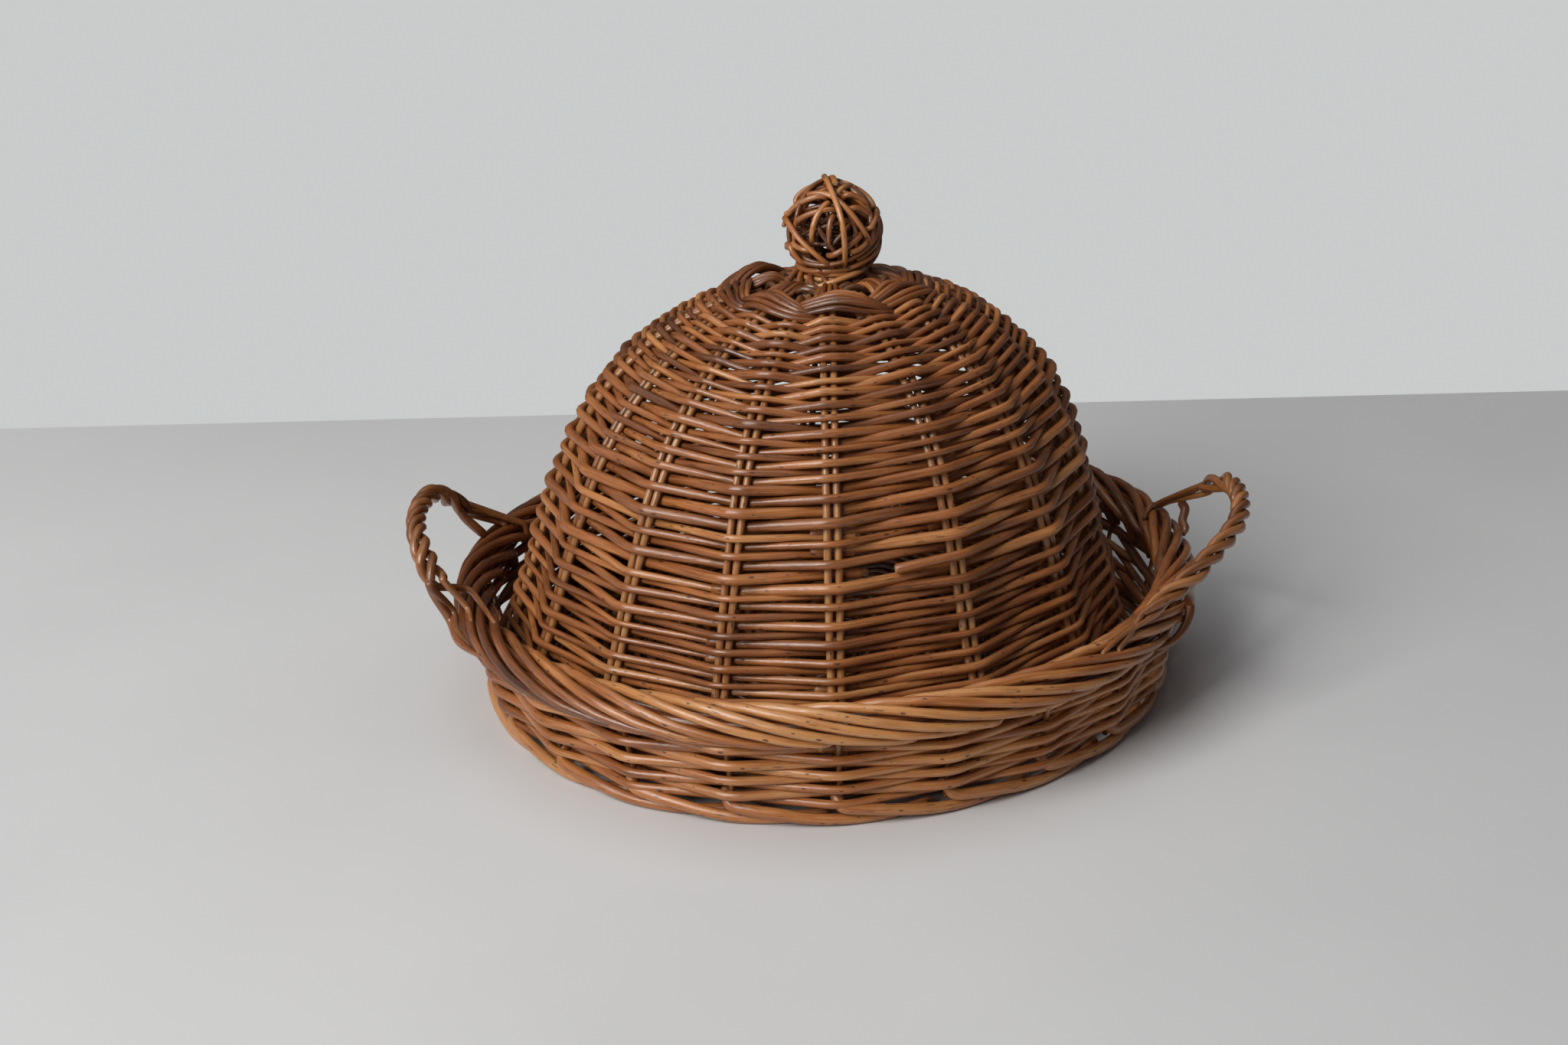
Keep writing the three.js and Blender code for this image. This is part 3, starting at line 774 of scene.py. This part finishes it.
def make_weave():
    """Two weavers wind up the dome. A rod of the second one has snapped behind the front rib."""
    def along(values):
        return lambda length: np.interp(length, DOME_AT, values)

    close, girth, reach = along(DOME_CLOSE), along(DOME_ROD), along(DOME_REACH)
    weavers = wind(RIB_COUNT, DOME_WEAVE_START, DOME_WEAVE_END, close, girth, DOME_SPANS)
    snap(weavers[1])
    for letter, strands in zip("ab", weavers):
        halves = {1: Rods(), 2: Rods()}
        for number, strand in enumerate(strands):
            half = 1 if number < len(strands) / 2 else 2
            add_woven(halves[half], strand, dome_place, reach, DOME_BEND, shade(0.54, 0.14))
        for half, rods in halves.items():
            make_piece(f"cloche_weaver_{letter}{half}", rods, weaver_wood, "cloche")


def make_cloche_border():
    rods = Rods()
    middle = [spot(DOME_RADIUS, a, BORDER_HEIGHT) + (LEAN[0], 0, 0) for a in np.linspace(0, 362, 150)]
    middle = np.array(middle)
    _, across, outward = directions(middle)
    for s in (0, 1):
        turn = np.linspace(0, RIB_COUNT * np.pi, len(middle)) + s * np.pi
        line = middle + 1.55 * (np.cos(turn)[:, None] * across + np.sin(turn)[:, None] * outward)
        rods.add(line, 1.6, shade(0.35, 0.05))
    make_piece("cloche_base_border", rods, weaver_wood, "cloche")


# The crown's bundles of rods, and how far they are humped and how pale they are, by angle from the front
BUNDLE_COUNT = 8
BUNDLE_SPACE = 360 / BUNDLE_COUNT
BUNDLE_RODS = 5
BUNDLE_PITCH = 3.5
BUNDLE_LENGTH = RIB_LENGTH - 16
BUNDLE_AT = (-180, -140, -100, -60, 0, 50, 100, 140, 180)
BUNDLE_HUMP = (0.6, 1.5, 1.1, 0.95, 1.1, 1.0, 0.6, 0.5, 0.6)
BUNDLE_TONE = (0.32, 0.32, 0.3, 0.34, 0.5, 0.42, 0.34, 0.32, 0.32)

# The way of a bundle: its place round the crown, up the ribs and above the wall, and how far its rods
# spread up the ribs and sideways
BUNDLE_WAY = [
    (-0.7, 1, -3.5, 0.5, 0), (-0.4, 1, 1.5, 0.85, 0), (0, 1.5, 6.0, 1, 0),
    (0.34, -0.5, 5.0, 0.9, 0), (0.6, -2.5, 2.0, 0.75, 0.2), (0.8, 2, -1.5, 0.5, 0.6),
    (0.92, 12, 2.5, 0, 0.95), (0.97, 22, 4.0, 0, 0.75), (0.98, 30, 0, 0, 0.5),
]


def make_crown_bands():
    """Flat bundles of rods, each humped up, passed under the next and turned in towards the middle."""
    pieces = {1: Rods(), 2: Rods()}
    for j in range(BUNDLE_COUNT):
        rods = pieces[1 + j % 2]
        middle = (2 + j * BUNDLE_SPACE + chance.uniform(-3, 3) + 180) % 360 - 180
        hump = np.interp(middle, BUNDLE_AT, BUNDLE_HUMP) * chance.uniform(0.85, 1.15)
        pale = np.interp(middle, BUNDLE_AT, BUNDLE_TONE)
        tilt = chance.uniform(-4, 4)
        for s in range(BUNDLE_RODS):
            across = (s - (BUNDLE_RODS - 1) / 2) * BUNDLE_PITCH
            line = []
            for part, up, off, spread, aside in BUNDLE_WAY:
                length = BUNDLE_LENGTH + up + tilt * part + across * spread + chance.normal(0, 0.5)
                height = off * hump - 0.025 * across ** 2 + chance.normal(0, 0.4)
                line.append(wall(middle + part * BUNDLE_SPACE, length, height, -across * aside))
            rods.add(curve_through(line, 6), (1.65, 1.65, 1.55, 1.35), shade(pale, 0.12), 10)
    for band, rods in pieces.items():
        make_piece(f"crown_band_{band}", rods, weaver_wood, "cloche")


# The hub's crossed rods, and the radii of the rings that are woven round them
HUB_RODS = 8
HUB_RINGS = (14, 17.5, 21, 24.5, 28, 31.5)


def make_hub():
    """Rods that cross the middle of the crown, with a short weave round them."""
    rods = Rods()
    middle = np.array([LEAN[-1], 0, 0])
    for k in range(HUB_RODS):
        angle = k * 180 / HUB_RODS + chance.uniform(-5, 5)
        height = CROWN_HEIGHT + chance.uniform(-1.5, 1.5)
        line = [spot(r, angle, height + 1.2 - abs(r) * 0.05) for r in (-33, -16, 0, 16, 33)]
        line = [settled(middle + point) for point in line]
        rods.add(curve_through(line, 5), 1.8, shade(0.2, 0.06))
    for ring, radius in enumerate(HUB_RINGS):
        angles = np.linspace(0, 365, 65)
        height = CROWN_HEIGHT + 1 + 2.4 * np.cos(np.radians(angles * HUB_RODS) + ring * np.pi)
        line = [settled(middle + spot(radius, a, z)) for a, z in zip(angles, height)]
        rods.add(line, 1.7, shade(0.2, 0.06))
    make_piece("crown_hub", rods, rod_wood, "cloche")


# The turns of the neck, by height, radius and tilt
NECK_TURNS = [(222.8, 16.3, 0.05), (225.5, 17.4, -0.07), (227.9, 18.2, 0.06)]


def make_neck():
    """Rods wound under the ball, and the ends that tie it down to the crown."""
    rods = Rods()
    middle = KNOB_MIDDLE * (1, 1, 0)
    for height, radius, tilt in NECK_TURNS:
        line = []
        for a in np.linspace(0, 380, 60) + chance.uniform(0, 360):
            p = spot(radius, a, height)
            line.append(middle + p + (0, 0, tilt * p[0] + chance.normal(0, 0.05)))
        rods.add(line, 1.6, shade(0.86, 0.1))
    tie = [spot(18.2, 75, 226.5), spot(20.2, 40, 226), spot(21, 5, 223.5), spot(22.5, -25, 220)]
    rods.add(middle + curve_through(tie, 8), 1.5, 0.92)
    for angle in (-75, -50, -25, 48, 100, 150, 205, 250):
        tie = [spot(15, angle, 226.5), spot(20, angle + 12, 222.5), spot(26, angle + 30, 217)]
        rods.add(middle + curve_through(tie, 6), 1.5, shade(0.45, 0.12))
    make_piece("neck_wrap", rods, weaver_wood, "cloche")


# The rods on the knob's front: their depth, how far their two ends sink, and three points of its disc
BALL_RODS = [
    (0.0, -1.4, 2.5, (-0.09, 0.99), (0.17, 0.05), (0.22, -0.82)),
    (1.2, 3, 3, (-0.66, 0.70), (0.05, 0.55), (0.87, -0.45)),
    (0.3, 1, 3, (-0.95, 0.28), (-0.62, -0.28), (-0.03, -0.86)),
    (0.8, 1, 3, (-0.90, 0.32), (-0.58, 0.51), (-0.10, 0.62)),
    (1.8, 3, 3, (-0.80, 0.13), (-0.40, 0.26), (0.08, 0.33)),
    (1.4, 3, 3, (-0.06, 0.51), (-0.34, 0.13), (-0.48, -0.33)),
    (4.5, 3, 3, (0.04, 0.26), (-0.07, 0.0), (-0.13, -0.56)),
    (1.2, 3, 2, (0.28, 0.64), (0.53, 0.57), (0.76, 0.43)),
    (2.4, 3, 2, (0.38, 0.34), (0.60, 0.33), (0.84, 0.19)),
    (2.2, 3, 3, (-0.13, -0.69), (0.31, -0.46), (0.66, -0.20)),
    (1.6, 3, 3, (0.33, -0.58), (0.53, -0.50), (0.74, -0.33)),
    (1.6, 1, 3, (-0.84, -0.29), (-0.71, -0.40), (-0.48, -0.51)),
    (0.6, 1, 2, (-0.88, -0.30), (-0.76, -0.51), (-0.60, -0.72)),
    (0.4, 1, 2, (0.93, -0.37), (0.71, -0.62), (0.28, -0.86)),
    (1.0, 1, 3, (0.93, 0.26), (0.83, 0.03), (0.75, -0.10)),
    (1.5, 3, 2, (0.14, 0.73), (0.40, 0.86), (0.52, 0.82)),
]

# The knob's other rods: hoops near its edge and hoops inside
EDGE_HOOPS = 9
INNER_HOOPS = 34


def towards_camera(x, y):
    """The way from the ball's middle to a point of its disc."""
    e = math.radians(CAMERA_DOWN)
    z = math.sqrt(max(0, 1 - x * x - y * y))
    return np.array([x, y * math.sin(e) - z * math.cos(e), y * math.cos(e) + z * math.sin(e)])


def ball_hoop(rods, axis, radius, girth, tone, arc):
    """A rod along a great circle of the ball, round an axis."""
    first = np.cross(axis, chance.normal(0, 1, 3))
    first /= np.linalg.norm(first)
    side = np.cross(axis / np.linalg.norm(axis), first)
    t = np.radians(np.linspace(0, arc, 44))
    off = radius + wander(len(t), 9, 0.4)
    line = KNOB_MIDDLE + off[:, None] * (np.cos(t)[:, None] * first + np.sin(t)[:, None] * side)
    rods.add(line, (girth, 0.88 * girth), tone)


def make_knob():
    """Rods on the front, the same behind, hoops near the edge, and a tangle inside with painted shade:
    darker the deeper it lies.
    """
    rods = Rods()
    for depth, first, last, *marks in BALL_RODS:
        marks = curve_through([(*mark, 0) for mark in marks], 10)
        t = np.linspace(-1, 1, len(marks))
        sink = depth + np.where(t < 0, first, last) * t ** 6
        line = [(KNOB_RADIUS - 1.5 - d) * towards_camera(x, y) for (x, y, _), d in zip(marks, sink)]
        for half_turn in ((1, 1, 1), (-1, -1, 1)):
            rods.add(KNOB_MIDDLE + np.array(line) * half_turn, (1.6, 1.4), shade(0.68, 0.1), 10)
    for k in range(EDGE_HOOPS):
        tilt = math.radians(k * 360 / EDGE_HOOPS + chance.uniform(-15, 15))
        lean = chance.uniform(0.4, 0.75)
        axis = towards_camera(lean * math.cos(tilt), lean * math.sin(tilt))
        tone = shade(0.4, 0.12)
        ball_hoop(rods, axis, KNOB_RADIUS - 2.0 - 0.4 * k, 1.4, tone, chance.uniform(120, 260))
    for k in range(INNER_HOOPS):
        depth = 5.5 + 0.35 * k
        # Painted shade: the deeper a hoop lies inside the ball, the darker its tone
        tone = shade(0.4 - 0.018 * depth, 0.07)
        ball_hoop(rods, chance.normal(0, 1, 3), KNOB_RADIUS - depth, 1.3, tone, chance.uniform(150, 300))
    make_piece("knob_ball", rods, weaver_wood, "cloche")


make_foot()
floor_weave = make_base()
make_stakes()
make_side()
make_rim()
make_handle("left", LEFT_ROPE, LEFT_TURNS, LEFT_SPREAD, LEFT_FRONT, LEFT_BACK)
make_handle("right", RIGHT_ROPE, RIGHT_TURNS, RIGHT_SPREAD, RIGHT_FRONT, RIGHT_BACK)
make_lashings()
make_ribs()
make_weave()
make_cloche_border()
make_crown_bands()
make_hub()
make_neck()
make_knob()
bind_base(floor_weave)


# Stage: a pale table in front of a pale wall, soft light from the front left and above

# The table in metres: how far it reaches, and where its far edge is at its left and right ends
TABLE_REACH = 6
TABLE_FAR_LEFT = 0.909
TABLE_FAR_RIGHT = -0.054

# The lamps: place and size in metres, and power in watts
LAMPS = [
    ("window", (-1.65, -1.6, 1.85), 1.6, 70),
    ("ceiling", (-0.3, 0.1, 2.4), 2.4, 14),
    ("left_wall", (-1.7, 0.5, 0.8), 1.4, 2),
]


def make_floor():
    material = bpy.data.materials.new("pale_table")
    n = Nodes(material)
    place = n.add("ShaderNodeTexCoord").outputs["Object"]
    cloud = n.noise(place, 3.0, 4.0)
    colour = n.ramp(cloud, [(0.35, (0.685, 0.695, 0.71)), (0.65, (0.725, 0.735, 0.75))])
    n.put(n.shader.inputs["Base Color"], colour)
    n.shader.inputs["Roughness"].default_value = 0.7
    mesh = bpy.data.meshes.new("table")
    near = [(-TABLE_REACH, -TABLE_REACH, 0), (TABLE_REACH, -TABLE_REACH, 0)]
    far = [(TABLE_REACH, TABLE_FAR_RIGHT, 0), (-TABLE_REACH, TABLE_FAR_LEFT, 0)]
    mesh.from_pydata(near + far, [], [(0, 1, 2, 3)])
    mesh.materials.append(material)
    floor = bpy.data.objects.new("table", mesh)
    bpy.context.scene.collection.objects.link(floor)


def look_along(way, place):
    """A place and turn whose -Z looks along a way, with +Y as near up as can be."""
    ahead = np.asarray(way, float) / np.linalg.norm(way)
    right = np.cross(ahead, (0, 0, 1))
    right /= np.linalg.norm(right)
    up = np.cross(right, ahead)
    turn = np.stack([right, up, -ahead], 1)
    return Matrix.Translation(place) @ Matrix(turn.tolist()).to_4x4()


def make_light():
    world = bpy.data.worlds.new("room")
    bpy.context.scene.world = world
    world.use_nodes = True
    tree = world.node_tree
    background = tree.nodes["Background"]
    background.inputs["Color"].default_value = (0.93, 0.96, 1.0, 1)
    background.inputs["Strength"].default_value = 0.07
    wall_light = tree.nodes.new("ShaderNodeBackground")
    wall_light.inputs["Color"].default_value = (0.585, 0.60, 0.60, 1)
    wall_light.inputs["Strength"].default_value = 1.0
    path = tree.nodes.new("ShaderNodeLightPath")
    mix = tree.nodes.new("ShaderNodeMixShader")
    tree.links.new(path.outputs["Is Camera Ray"], mix.inputs[0])
    tree.links.new(background.outputs[0], mix.inputs[1])
    tree.links.new(wall_light.outputs[0], mix.inputs[2])
    tree.links.new(mix.outputs[0], tree.nodes["World Output"].inputs["Surface"])
    for name, place, size, power in LAMPS:
        lamp = bpy.data.lights.new(name, "AREA")
        lamp.size = size
        lamp.energy = power
        lamp.color = (1.0, 0.98, 0.95)
        obj = bpy.data.objects.new(name, lamp)
        bpy.context.scene.collection.objects.link(obj)
        away = np.array(place) - (0, 0, 0.1)
        obj.matrix_world = look_along(-away, place)


def make_camera():
    data = bpy.data.cameras.new("camera")
    data.lens = CAMERA_LENS
    data.sensor_width = 36
    camera = bpy.data.objects.new("camera", data)
    bpy.context.scene.collection.objects.link(camera)
    e = math.radians(CAMERA_DOWN)
    level = look_along((0, math.cos(e), -math.sin(e)), [0.001 * v for v in CAMERA_PLACE])
    camera.matrix_world = level @ Matrix.Rotation(math.radians(CAMERA_ROLL), 4, "Z")
    bpy.context.scene.camera = camera


make_floor()
make_light()
make_camera()
bpy.context.scene.view_settings.view_transform = "Standard"
